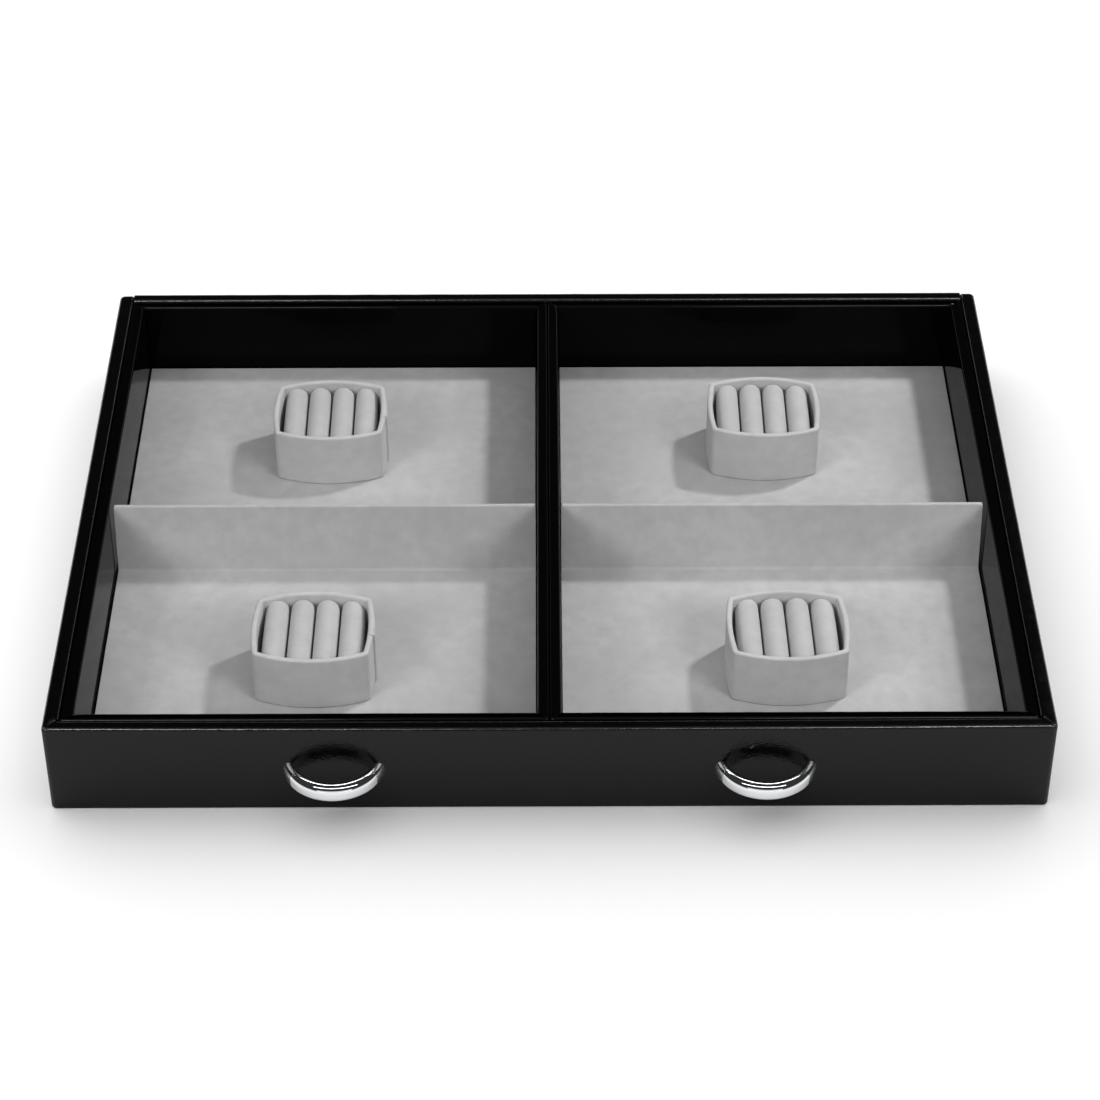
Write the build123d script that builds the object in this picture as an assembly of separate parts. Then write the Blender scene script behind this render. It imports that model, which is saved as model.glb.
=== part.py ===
from build123d import *
import math
import os

# Pull-out tray of a jewellery chest: a leather-covered tray with two lined compartments, a folded
# suede divider in each, four loose ring boxes and two bow handles. Millimetres. The origin is the
# middle of the footprint, on the underside; the front faces -Y.

# Tray
TRAY_WIDTH = 330.0
TRAY_DEPTH = 250.0
TRAY_HEIGHT = 35.0
WALL_BOARD = 3.2
BOTTOM_BOARD = 3.0
LEATHER = 0.8
BASE_COVER = 1.0
WALL_EDGE_ROUND = 1.3
CORNER_ROUND = 1.5
FOOT_EDGE_ROUND = 0.5
BACK_WALL_PROUD = 0.7

# Compartment liners
LINER = 4.0
LINER_DROP = 0.5
LINER_EDGE_ROUND = 1.2

# Floor panels
FLOOR_CARD = 2.0
SUEDE = 0.4
FLOOR_CLEARANCE = 0.6

# Folded dividers
DIVIDER_CARD = 0.8
DIVIDER_FOOT_Y = -10.1
DIVIDER_TOP_Z = 33.0
DIVIDER_LEAN = 10.0
DIVIDER_CLEARANCE = 1.2
DIVIDER_CREASE_ROUND = 1.0
DIVIDER_TOP_ROUND = 0.6

# Handles
HANDLE_X = 70.7
HANDLE_Z = 17.5
HANDLE_SPREAD = 30.6
HANDLE_REACH = 11.9
HANDLE_THICKNESS = 3.0
HANDLE_HEIGHT = 5.9
HANDLE_CROWN = 0.5
HANDLE_EDGE_ROUND = 0.8
STUD_DIAMETER = 2.2
STUD_HOLE_CLEARANCE = 0.1
STUD_ROOT = 0.6
NUT_ACROSS_FLATS = 4.0
NUT_THICKNESS = 1.6
NUT_POCKET_CLEARANCE = 0.3
NUT_COVER = 0.2

# Ring boxes
BOX_WIDTH = 39.2
BOX_DEPTH = 29.2
BOX_HEIGHT = 21.1
BOX_FRONT_BOW = 4.2
BOX_SIDE_BOW = 1.3
BOX_CORNER = 3.0
BOX_WALL = 2.0
BOX_RIM_ROUND = 0.7
BOX_BASE = 2.0
BOX_BASE_CLEARANCE = 0.15
ROLL_COUNT = 4
ROLL_GAP = 0.3
ROLL_SIDE_CLEARANCE = 0.35
ROLL_CROWN = 3.0
ROLL_DRAW_IN = 0.3
ROLL_DROP = 0.6
ROLL_END_CLEARANCE = 0.4
ROLL_END_ROUND = 1.2
ROLL_END_STEPS = 3

# How far each ring box stands from the middle of its bay, in x and y, and how far it is turned
BOX_SPOTS = {
    "left_rear": (-0.9, 6.85, 0.3),
    "right_rear": (0.3, 8.05, -0.5),
    "left_front": (-0.3, -2.75, -0.3),
    "right_front": (1.2, -2.55, 0.7),
}

# Worked out from the sizes above
HALF_WIDTH = TRAY_WIDTH / 2
FRONT_Y = -TRAY_DEPTH / 2
BACK_Y = TRAY_DEPTH / 2
SIDE_END_Y = BACK_Y - BACK_WALL_PROUD
WALL = WALL_BOARD + 2 * LEATHER
INNER_X = HALF_WIDTH - WALL
INNER_Y = BACK_Y - WALL
DECK_Z = BASE_COVER + BOTTOM_BOARD
LINER_TOP_Z = TRAY_HEIGHT - LINER_DROP
LINED_X = INNER_X - LINER
LINED_Y = INNER_Y - LINER
FLOOR_Z = DECK_Z + FLOOR_CARD + SUEDE
DIVIDER_FLOOR_Z = FLOOR_Z + DIVIDER_CARD + SUEDE
DIVIDER_UPRIGHT = DIVIDER_CARD + 2 * SUEDE
BAY_X = (LINED_X + LINER) / 2
REAR_BAY_Y = (LINED_Y + DIVIDER_FOOT_Y) / 2
FRONT_BAY_Y = (DIVIDER_FOOT_Y - LINED_Y) / 2
ROLL_ROW = BOX_WIDTH - 2 * (BOX_WALL + ROLL_SIDE_CLEARANCE)
ROLL_WIDTH = (ROLL_ROW - (ROLL_COUNT - 1) * ROLL_GAP) / ROLL_COUNT
ROLL_PITCH = ROLL_WIDTH + ROLL_GAP

os.makedirs("parts", exist_ok=True)


def save(shape, name):
    export_step(shape, f"parts/{name}.step")


def prism(points, low, high):
    """A plan outline raised between two heights."""
    face = make_face(Polyline(*points, close=True))
    return Pos(0, 0, low) * extrude(face, high - low)


def slab(x_low, x_high, y_low, y_high, z_low, z_high):
    middle = Pos((x_low + x_high) / 2, (y_low + y_high) / 2, (z_low + z_high) / 2)
    return middle * Box(x_high - x_low, y_high - y_low, z_high - z_low)


def rounded_top(points, low, high, radius, edge_axis):
    """A strip with a plan outline, its two long top edges rounded."""
    strip = prism(points, low, high)
    long_edges = strip.edges().group_by(Axis.Z)[-1].filter_by(edge_axis)
    return fillet(long_edges, radius)


def mirrored(shape):
    return mirror(shape, about=Plane.YZ)


# Plan outlines of the walls: the front corners are mitred, the back wall stands between the sides
def front_outline(inset, thickness):
    outer_x = HALF_WIDTH - inset
    outer_y = FRONT_Y + inset
    return [
        (-outer_x, outer_y),
        (outer_x, outer_y),
        (outer_x - thickness, outer_y + thickness),
        (-outer_x + thickness, outer_y + thickness),
    ]


def left_outline(inset, thickness):
    outer_x = HALF_WIDTH - inset
    outer_y = FRONT_Y + inset
    return [
        (-outer_x, outer_y),
        (-outer_x + thickness, outer_y + thickness),
        (-outer_x + thickness, SIDE_END_Y - inset),
        (-outer_x, SIDE_END_Y - inset),
    ]


def back_outline(inset, thickness):
    outer_y = BACK_Y - inset
    return [
        (-INNER_X, outer_y - thickness),
        (INNER_X, outer_y - thickness),
        (INNER_X, outer_y),
        (-INNER_X, outer_y),
    ]


# Handle studs and the holes they pass through
def stud_places():
    """Where the studs of both handles stand along X."""
    return [side * HANDLE_X + end * HANDLE_SPREAD / 2 for side in (-1, 1) for end in (-1, 1)]


def rod(x, y_low, y_high, radius):
    """A round bar along Y at the handles' height."""
    return Pos(x, (y_low + y_high) / 2, HANDLE_Z) * Rot(90, 0, 0) * Cylinder(radius, y_high - y_low)


NUT_FACE_Y = -INNER_Y - NUT_COVER
NUT_SEAT_Y = NUT_FACE_Y - NUT_THICKNESS
NUT_CORNER_RADIUS = NUT_ACROSS_FLATS / math.sqrt(3)
STUD_HOLE_RADIUS = STUD_DIAMETER / 2 + STUD_HOLE_CLEARANCE


def stud_openings():
    """A hole for each stud through the front wall, and a pocket for its nut."""
    cuts = []
    for x in stud_places():
        cuts.append(rod(x, FRONT_Y, -INNER_Y, STUD_HOLE_RADIUS))
        cuts.append(rod(x, NUT_SEAT_Y, -INNER_Y, NUT_CORNER_RADIUS + NUT_POCKET_CLEARANCE))
    return cuts


# Carcass: a bottom board between four wall boards
BOARD_TOP_Z = TRAY_HEIGHT - LEATHER
BOARD_EDGE_ROUND = WALL_EDGE_ROUND - LEATHER
BOARD_INNER_X = INNER_X + LEATHER
BOARD_INNER_Y = INNER_Y + LEATHER

bottom_board = slab(-BOARD_INNER_X, BOARD_INNER_X, -BOARD_INNER_Y, BOARD_INNER_Y, BASE_COVER, DECK_Z)
base_cover = slab(
    -HALF_WIDTH + LEATHER, HALF_WIDTH - LEATHER, FRONT_Y + LEATHER, SIDE_END_Y - LEATHER, 0, BASE_COVER
)
base_cover += slab(-INNER_X, INNER_X, SIDE_END_Y - LEATHER, BACK_Y - LEATHER, 0, BASE_COVER)

front_points = front_outline(LEATHER, WALL_BOARD)
left_points = left_outline(LEATHER, WALL_BOARD)
back_points = back_outline(LEATHER, WALL_BOARD)
front_board = rounded_top(front_points, BASE_COVER, BOARD_TOP_Z, BOARD_EDGE_ROUND, Axis.X)
left_board = rounded_top(left_points, BASE_COVER, BOARD_TOP_Z, BOARD_EDGE_ROUND, Axis.Y)
back_board = rounded_top(back_points, BASE_COVER, BOARD_TOP_Z, BOARD_EDGE_ROUND, Axis.X)


# Leather covers: each is its wall's full shape less what lies inside it
def covered_walls():
    """The front wall and both side walls in one, with the leather drawn round every edge."""
    walls = slab(-HALF_WIDTH, HALF_WIDTH, FRONT_Y, SIDE_END_Y, 0, TRAY_HEIGHT)
    walls = fillet(walls.edges().filter_by(Axis.Z), CORNER_ROUND)
    walls = fillet(walls.edges().group_by(Axis.Z)[0], FOOT_EDGE_ROUND)
    walls -= slab(-INNER_X, INNER_X, -INNER_Y, SIDE_END_Y, 0, TRAY_HEIGHT)
    return fillet(walls.edges().group_by(Axis.Z)[-1], WALL_EDGE_ROUND)


walls = covered_walls()
front_cover = walls & prism(front_outline(0, WALL), 0, TRAY_HEIGHT)
left_cover = walls & prism(left_outline(0, WALL), 0, TRAY_HEIGHT)
back_cover = rounded_top(back_outline(0, WALL), 0, TRAY_HEIGHT, WALL_EDGE_ROUND, Axis.X)
front_cover = front_cover - front_board - base_cover - bottom_board
left_cover = left_cover - left_board - base_cover - bottom_board
back_cover = back_cover - back_board - base_cover - bottom_board

for opening in stud_openings():
    front_board -= opening
    front_cover -= opening

save(bottom_board, "bottom_board")
save(base_cover, "base_cover")
save(front_board, "front_board")
save(back_board, "back_board")
save(left_board, "left_board")
save(mirrored(left_board), "right_board")
save(front_cover, "front_cover")
save(back_cover, "back_cover")
save(left_cover, "left_cover")
save(mirrored(left_cover), "right_cover")


# Liner frame of the left compartment: four mitred strips that stand on the bottom board
def liner_strip(points, edge_axis):
    return rounded_top(points, DECK_Z, LINER_TOP_Z, LINER_EDGE_ROUND, edge_axis)


LINER_CORNERS = [(-INNER_X, -INNER_Y), (0, -INNER_Y), (0, INNER_Y), (-INNER_X, INNER_Y)]
LINED_CORNERS = [(-LINED_X, -LINED_Y), (-LINER, -LINED_Y), (-LINER, LINED_Y), (-LINED_X, LINED_Y)]
LINER_SIDES = {"front": Axis.X, "centre": Axis.Y, "back": Axis.X, "outer": Axis.Y}

for index, (side, edge_axis) in enumerate(LINER_SIDES.items()):
    following = (index + 1) % len(LINER_CORNERS)
    strip_points = [
        LINER_CORNERS[index],
        LINER_CORNERS[following],
        LINED_CORNERS[following],
        LINED_CORNERS[index],
    ]
    strip = liner_strip(strip_points, edge_axis)
    save(strip, f"left_liner_{side}")
    save(mirrored(strip), f"right_liner_{side}")


# Floor panel of the left compartment: a card with suede over its top and edges
def floor_slab(inset, top):
    gap = FLOOR_CLEARANCE + inset
    return slab(-LINED_X + gap, -LINER - gap, -LINED_Y + gap, LINED_Y - gap, DECK_Z, top)


floor_card = floor_slab(SUEDE, DECK_Z + FLOOR_CARD)
floor_suede = floor_slab(0, FLOOR_Z) - floor_card
save(floor_card, "left_floor_card")
save(mirrored(floor_card), "right_floor_card")
save(floor_suede, "left_floor_suede")
save(mirrored(floor_suede), "right_floor_suede")


# Folded divider of the left compartment: a front floor that turns up into a leaning wall
def divider_profile(inset):
    """The folded outline in Y and Z, drawn in by the thickness of the suede where that is left out."""
    lean = math.radians(DIVIDER_LEAN)
    front_y = -LINED_Y + DIVIDER_CLEARANCE + inset
    floor_z = DIVIDER_FLOOR_Z - inset
    upright = DIVIDER_UPRIGHT - 2 * inset
    foot_y = DIVIDER_FOOT_Y + inset / math.cos(lean) - inset * math.tan(lean)
    top_z = DIVIDER_TOP_Z - inset
    top_y = foot_y + (top_z - floor_z) * math.tan(lean)
    heel_y = foot_y - (floor_z - FLOOR_Z) * math.tan(lean) + upright / math.cos(lean)
    back_top_y = heel_y + (top_z - FLOOR_Z) * math.tan(lean)
    outline = Polyline(
        (front_y, FLOOR_Z),
        (front_y, floor_z),
        (foot_y, floor_z),
        (top_y, top_z),
        (back_top_y, top_z),
        (heel_y, FLOOR_Z),
        close=True,
    )
    face = make_face(outline)
    crease = face.vertices().sort_by_distance((foot_y, floor_z))[0]
    face = fillet(crease, DIVIDER_CREASE_ROUND + inset)
    crown = face.vertices().group_by(Axis.Y)[-1]
    return fillet(crown, DIVIDER_TOP_ROUND - inset)


def divider_solid(inset):
    length = LINED_X - LINER - 2 * DIVIDER_CLEARANCE - 2 * inset
    start = Plane(origin=(-LINED_X + DIVIDER_CLEARANCE + inset, 0, 0), x_dir=(0, 1, 0), z_dir=(1, 0, 0))
    return extrude(start * divider_profile(inset), length)


divider_card = divider_solid(SUEDE)
divider_suede = divider_solid(0) - divider_card
save(divider_card, "left_divider_card")
save(mirrored(divider_card), "right_divider_card")
save(divider_suede, "left_divider_suede")
save(mirrored(divider_suede), "right_divider_suede")


# Handle: a half-round bow that stands on the front leather, with a stud at each end
def handle():
    half_spread = HANDLE_SPREAD / 2
    bow_radius = (half_spread**2 + HANDLE_REACH**2) / (2 * HANDLE_REACH)
    centre_y = FRONT_Y - HANDLE_REACH + bow_radius
    half_height = HANDLE_HEIGHT / 2
    inner = bow_radius - HANDLE_THICKNESS / 2
    outer = bow_radius + HANDLE_THICKNESS / 2
    shoulder = outer - HANDLE_CROWN
    back = Polyline(
        (shoulder, -half_height), (inner, -half_height), (inner, half_height), (shoulder, half_height)
    )
    crown = ThreePointArc((shoulder, half_height), (outer, 0), (shoulder, -half_height))
    section = make_face([back, crown])
    section = fillet(section.vertices(), HANDLE_EDGE_ROUND)
    ring = revolve(Plane.XZ * section, Axis.Z)
    bow = Pos(HANDLE_X, centre_y, HANDLE_Z) * ring
    bow = split(bow, Plane(origin=(0, FRONT_Y, 0), z_dir=(0, 1, 0)), keep=Keep.BOTTOM)
    for end in (-1, 1):
        bow += rod(HANDLE_X + end * half_spread, FRONT_Y - STUD_ROOT, NUT_FACE_Y, STUD_DIAMETER / 2)
    return bow


def handle_nuts():
    nuts = []
    for end in (-1, 1):
        spot = Pos(HANDLE_X + end * HANDLE_SPREAD / 2, NUT_FACE_Y, HANDLE_Z)
        nut = spot * Rot(90, 0, 0) * extrude(RegularPolygon(NUT_CORNER_RADIUS, 6), NUT_THICKNESS)
        hole = rod(HANDLE_X + end * HANDLE_SPREAD / 2, NUT_SEAT_Y, NUT_FACE_Y, STUD_HOLE_RADIUS)
        nuts.append(nut - hole)
    return Compound(children=nuts)


right_handle = handle()
right_nuts = handle_nuts()
save(right_handle, "right_handle")
save(mirrored(right_handle), "left_handle")
save(right_nuts, "right_handle_nuts")
save(mirrored(right_nuts), "left_handle_nuts")


# Ring box: a bowed suede wall round a base, with rolls that grip rings between them
def box_outline():
    half_width = BOX_WIDTH / 2
    half_depth = BOX_DEPTH / 2
    front = ThreePointArc(
        (-half_width, -half_depth), (0, -half_depth - BOX_FRONT_BOW), (half_width, -half_depth)
    )
    right = ThreePointArc(
        (half_width, -half_depth), (half_width + BOX_SIDE_BOW, 0), (half_width, half_depth)
    )
    back = ThreePointArc(
        (half_width, half_depth), (0, half_depth + BOX_FRONT_BOW), (-half_width, half_depth)
    )
    left = ThreePointArc(
        (-half_width, half_depth), (-half_width - BOX_SIDE_BOW, 0), (-half_width, -half_depth)
    )
    face = make_face([front, right, back, left])
    return fillet(face.vertices(), BOX_CORNER)


def box_shell(outline):
    wall = extrude(outline - offset(outline, -BOX_WALL), BOX_HEIGHT)
    return fillet(wall.faces().sort_by(Axis.Z)[-1].edges(), BOX_RIM_ROUND)


def roll_section(inset):
    """A roll's end view in X and Z: sides drawn in towards the base, and a round crown."""
    half_width = ROLL_WIDTH / 2 - inset
    base = half_width - ROLL_DRAW_IN
    top = BOX_HEIGHT - ROLL_DROP - inset
    shoulder = top - ROLL_CROWN
    sides = Polyline((-half_width, shoulder), (-base, BOX_BASE), (base, BOX_BASE), (half_width, shoulder))
    crown = ThreePointArc((half_width, shoulder), (0, top), (-half_width, shoulder))
    return make_face([sides, crown])


def roll_end(x):
    """How far a roll reaches towards the bowed wall, and how that wall is turned there."""
    bow_radius = (BOX_WIDTH**2 / 4 + BOX_FRONT_BOW**2) / (2 * BOX_FRONT_BOW)
    centre_y = BOX_DEPTH / 2 + BOX_FRONT_BOW - bow_radius
    reach = math.sqrt((bow_radius - BOX_WALL - ROLL_END_CLEARANCE) ** 2 - x**2)
    return centre_y + reach, math.degrees(math.atan2(x, reach))


def box_roll(x):
    """A roll along Y between the bowed walls, both ends eased over a quarter circle."""
    end_y, turn = roll_end(x)
    sections = []
    for end in (-1, 1):
        eased = []
        for step in range(ROLL_END_STEPS + 1):
            angle = math.pi / 2 * step / ROLL_END_STEPS
            inset = ROLL_END_ROUND * (1 - math.sin(angle))
            y = end_y - ROLL_END_ROUND * (1 - math.cos(angle))
            eased.append(Pos(x, end * y, 0) * Rot(0, 0, -end * turn) * (Plane.XZ * roll_section(inset)))
        sections += eased if end < 0 else eased[::-1]
    return loft(sections, ruled=True)


outline = box_outline()
shell = box_shell(outline)
base = extrude(offset(outline, -BOX_WALL - BOX_BASE_CLEARANCE), BOX_BASE)
rolls = [box_roll((index - (ROLL_COUNT - 1) / 2) * ROLL_PITCH) for index in range(ROLL_COUNT)]

for box, (off_x, off_y, turn) in BOX_SPOTS.items():
    side, row = box.split("_")
    bay_x = -BAY_X if side == "left" else BAY_X
    bay_y = FRONT_BAY_Y if row == "front" else REAR_BAY_Y
    stands_on = DIVIDER_FLOOR_Z if row == "front" else FLOOR_Z
    spot = Pos(bay_x + off_x, bay_y + off_y, stands_on) * Rot(0, 0, turn)
    save(spot * shell, f"{box}_shell")
    save(spot * base, f"{box}_base")
    for number, roll in enumerate(rolls, start=1):
        save(spot * roll, f"{box}_roll_{number}")
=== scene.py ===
import math

import bmesh
import bpy
from mathutils import Matrix, Vector


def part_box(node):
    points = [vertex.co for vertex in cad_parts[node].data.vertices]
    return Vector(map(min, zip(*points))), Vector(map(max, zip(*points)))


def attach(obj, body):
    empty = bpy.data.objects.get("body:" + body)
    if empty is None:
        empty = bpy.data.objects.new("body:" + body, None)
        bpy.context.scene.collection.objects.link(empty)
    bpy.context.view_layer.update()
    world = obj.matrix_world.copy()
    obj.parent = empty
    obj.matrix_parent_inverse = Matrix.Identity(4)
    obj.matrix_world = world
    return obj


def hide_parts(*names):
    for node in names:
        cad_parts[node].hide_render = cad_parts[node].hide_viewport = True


# The pull-out tray of a jewellery chest, dressed piece by piece in the order it is put together.
# Metres. The front faces -Y, and the origin is the middle of the footprint, on the underside.
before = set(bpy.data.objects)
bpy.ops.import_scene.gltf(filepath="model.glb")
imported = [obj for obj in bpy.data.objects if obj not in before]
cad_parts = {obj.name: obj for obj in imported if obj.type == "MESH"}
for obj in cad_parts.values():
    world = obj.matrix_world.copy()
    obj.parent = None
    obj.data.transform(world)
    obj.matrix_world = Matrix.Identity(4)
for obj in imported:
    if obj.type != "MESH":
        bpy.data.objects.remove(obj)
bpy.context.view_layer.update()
MM = 0.001

# Carcass: strips of three-ply birch, glued round a bottom board into a shallow
# open box. Leather and suede hide nearly all of it, so the boards keep their drawn shapes. Their
# near-black colour is painted shade: it darkens the narrow gaps between the floor panels and the
# liners, where the bottom board shows.
BOARDS = ["bottom_board", "front_board", "back_board", "left_board", "right_board"]
# painted shade: near black, so that the gaps down to the bottom board read dark
SHADED_BIRCH_PALE = "#1d1a17"
SHADED_BIRCH_DARK = "#12100e"
BIRCH_FIBRE_WIDTH = 0.8 * MM
BIRCH_FIBRE_LENGTH = 30 * MM


def linear(hex_colour):
    """An sRGB hex colour as linear red, green, blue and alpha."""
    shares = [int(hex_colour[start : start + 2], 16) / 255 for start in (1, 3, 5)]
    return [s / 12.92 if s <= 0.04045 else ((s + 0.055) / 1.055) ** 2.4 for s in shares] + [1.0]


def add_node(tree, kind, settings=None, inputs=None):
    """Adds a node, with its settings and its inputs: each a constant or another node's output."""
    node = tree.nodes.new(kind)
    for name, value in (settings or {}).items():
        setattr(node, name, value)
    for name, value in (inputs or {}).items():
        if isinstance(value, bpy.types.NodeSocket):
            tree.links.new(value, node.inputs[name])
        else:
            node.inputs[name].default_value = value
    return node


def new_material(name):
    material = bpy.data.materials.new(name)
    material.use_nodes = True
    material.node_tree.nodes.clear()
    return material


def finish_nodes(nodes, material):
    """Gives solids that stay in view their real finish."""
    for node in nodes:
        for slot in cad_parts[node].material_slots:
            slot.material = material


# Birch: dull, with fibres that run along the strips, painted nearly black as shade for the gaps where it
# shows
birch = new_material("birch_plywood_painted_shade")
tree = birch.node_tree
place = add_node(tree, "ShaderNodeTexCoord")
fibre_scale = (1 / BIRCH_FIBRE_LENGTH, 1 / BIRCH_FIBRE_WIDTH, 1 / BIRCH_FIBRE_WIDTH)
drawn_out = add_node(tree, "ShaderNodeMapping", inputs={0: place.outputs["Object"], 3: fibre_scale})
fibres = add_node(
    tree, "ShaderNodeTexNoise", inputs={0: drawn_out.outputs[0], "Scale": 1.0, "Detail": 4.0}
)
colour = add_node(
    tree,
    "ShaderNodeMix",
    {"data_type": "RGBA"},
    {0: fibres.outputs[0], 6: linear(SHADED_BIRCH_PALE), 7: linear(SHADED_BIRCH_DARK)},
)
shader = add_node(
    tree, "ShaderNodeBsdfPrincipled", inputs={"Base Color": colour.outputs[2], "Roughness": 0.65}
)
add_node(tree, "ShaderNodeOutputMaterial", inputs={0: shader.outputs[0]})
finish_nodes(BOARDS, birch)

# Base sheet: black leather fibre board under the bottom, glued flat inside the foot of the walls.
# Pressed from ground hide, so it is matt and has a fine irregular grit.
BASE_BLACK = "#141414"
BASE_GRIT = 0.6 * MM
BASE_GRIT_DEPTH = 0.04 * MM

base_sheet = new_material("leather_fibre_board_black")
tree = base_sheet.node_tree
place = add_node(tree, "ShaderNodeTexCoord")
grit = add_node(
    tree,
    "ShaderNodeTexNoise",
    inputs={0: place.outputs["Object"], "Scale": 1 / BASE_GRIT, "Detail": 3.0},
)
bump = add_node(tree, "ShaderNodeBump", inputs={"Distance": BASE_GRIT_DEPTH, "Height": grit.outputs[0]})
shader = add_node(
    tree,
    "ShaderNodeBsdfPrincipled",
    inputs={"Base Color": linear(BASE_BLACK), "Roughness": 0.75, "Normal": bump.outputs[0]},
)
add_node(tree, "ShaderNodeOutputMaterial", inputs={0: shader.outputs[0]})
finish_nodes(["base_cover"], base_sheet)

# Wall covers: black leather with a fine pebble grain, pasted over the boards and polished. Each
# sheet runs up the outside, over the top edge and down inside. The front corners meet in a mitre,
# and the back wall's sheet ends between the side walls and stands a little proud of them.
LEATHER = 0.8 * MM
COVER_EDGE_ROUND = 1.3 * MM
COVER_CORNER_ROUND = 2.0 * MM
SKIVED_EDGE = 0.3 * MM
EDGE_STEPS = 6
SLICE = 4 * MM
RIPPLE_SIZE = 9 * MM
RIPPLE_DEPTH = 0.1 * MM
LEATHER_BLACK = "#030303"
PEBBLE = 0.7 * MM
PEBBLE_DEPTH = 0.045 * MM
MITRE_LIP = 0.25 * MM  # the side sheets' edges turn up a little along the mitre
FRONT_BOW = 0.65 * MM  # the front wall stands out at its top middle
SIDE_WALL_FILL = 0.5 * MM  # filler under the side walls' leather, on the inside
TINY = 1e-6

side_low, side_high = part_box("left_cover")
front_low, front_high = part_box("front_cover")
back_low, back_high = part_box("back_cover")
outer_x = -side_low.x
inner_x = -side_high.x
filled_x = inner_x - SIDE_WALL_FILL


def start_block(name, low, high):
    """Draws a cube out to the block between two corners and opens it for editing."""
    bpy.ops.object.select_all(action="DESELECT")
    low, high = Vector(low), Vector(high)
    bpy.ops.mesh.primitive_cube_add(size=1, location=(low + high) / 2)
    block = bpy.context.object
    block.name = name
    block.data.name = name
    block.scale = high - low
    bpy.ops.object.transform_apply(location=True, rotation=True, scale=True)
    bpy.ops.object.mode_set(mode="EDIT")
    return block


def pick(kind, test):
    """Selects the points or edges whose ends pass a test, or the faces whose middle and normal do."""
    bpy.ops.mesh.select_mode(type=kind)
    bpy.ops.mesh.select_all(action="DESELECT")
    mesh = bpy.context.object.data
    shape = bmesh.from_edit_mesh(mesh)
    if kind == "FACE":
        picked = [face for face in shape.faces if test(face.calc_center_median(), face.normal)]
    elif kind == "EDGE":
        picked = [edge for edge in shape.edges if test(edge.verts[0].co, edge.verts[1].co)]
    else:
        picked = [point for point in shape.verts if test(point.co)]
    for part in picked:
        part.select_set(True)
    bmesh.update_edit_mesh(mesh)


def round_picked(radius, steps):
    bpy.ops.mesh.bevel(offset=radius, segments=steps, profile=0.5, affect="EDGES", clamp_overlap=True)


def cut(point, ahead, close):
    """Cuts the whole piece along a plane and throws away what lies ahead of it."""
    bpy.ops.mesh.select_all(action="SELECT")
    bpy.ops.mesh.bisect(plane_co=point, plane_no=ahead, use_fill=close, clear_outer=True, threshold=TINY)


def slice_along(axis, step):
    """Divides the long edges that run along an axis, so that the piece can ripple."""
    shape = bmesh.from_edit_mesh(bpy.context.object.data)
    longest = max(abs(e.verts[0].co[axis] - e.verts[1].co[axis]) for e in shape.edges)
    pick("EDGE", lambda a, b: abs(a[axis] - b[axis]) > longest * 0.8)
    bpy.ops.mesh.subdivide(number_cuts=int(longest / step))


def take(piece):
    """Selects one piece alone and makes it the one that operators act on."""
    bpy.ops.object.select_all(action="DESELECT")
    piece.select_set(True)
    bpy.context.view_layer.objects.active = piece


def apply_modifier(piece, kind, settings):
    """Puts a modifier on a piece and applies it."""
    take(piece)
    modifier = piece.modifiers.new(kind, kind)
    for name, value in settings.items():
        setattr(modifier, name, value)
    bpy.ops.object.modifier_apply(modifier=modifier.name)


def smooth(piece, degrees=40):
    take(piece)
    bpy.ops.object.shade_smooth_by_angle(angle=math.radians(degrees))


def fit(piece, material, body, node):
    """Gives a finished piece its material, the body that carries it and the solid it stands for."""
    piece.data.materials.clear()
    piece.data.materials.append(material)
    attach(piece, body)
    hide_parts(node)


def rounded_bar(name, low, high, outward, radius, corner=None):
    """A bar with its top edges rounded and, where a corner is given, the uprights of its outer face."""
    bar = start_block(name, low, high)
    middle = (Vector(low) + Vector(high)) / 2

    def is_outer_upright(a, b):
        return min((a - middle).dot(outward), (b - middle).dot(outward)) > 0 and abs(a.z - b.z) > TINY

    def is_top_edge(a, b):
        runs_across = abs((a - b).dot(outward)) > radius
        return min(a.z, b.z) > middle.z and (corner is not None or not runs_across)

    if corner is not None:
        pick("EDGE", is_outer_upright)
        round_picked(corner, EDGE_STEPS)
    pick("EDGE", is_top_edge)
    round_picked(radius, EDGE_STEPS)
    return bar


ripple = bpy.data.textures.new("leather_ripple", "CLOUDS")
ripple.noise_scale = RIPPLE_SIZE


def let_ripple(piece, depth):
    """Lets a pasted sheet lie a little unevenly."""
    uneven = {"texture": ripple, "texture_coords": "LOCAL", "strength": depth, "mid_level": 0.5}
    apply_modifier(piece, "DISPLACE", uneven)


def wrap_leather(cover, axis):
    """Opens a bar's foot, lets its leather ripple and gives the sheet its thickness."""
    pick("FACE", lambda middle, normal: normal.z < -0.9)
    bpy.ops.mesh.delete(type="FACE")
    bpy.ops.mesh.select_all(action="SELECT")
    bpy.ops.mesh.remove_doubles(threshold=COVER_EDGE_ROUND / 40)
    slice_along(axis, SLICE)
    bpy.ops.object.mode_set(mode="OBJECT")
    let_ripple(cover, RIPPLE_DEPTH)
    apply_modifier(cover, "SOLIDIFY", {"thickness": LEATHER, "offset": -1, "use_even_offset": True})
    cut_edges = {"limit_method": "ANGLE", "angle_limit": math.radians(60)}
    apply_modifier(cover, "BEVEL", {"width": SKIVED_EDGE, "segments": 1, **cut_edges})
    smooth(cover)


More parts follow.
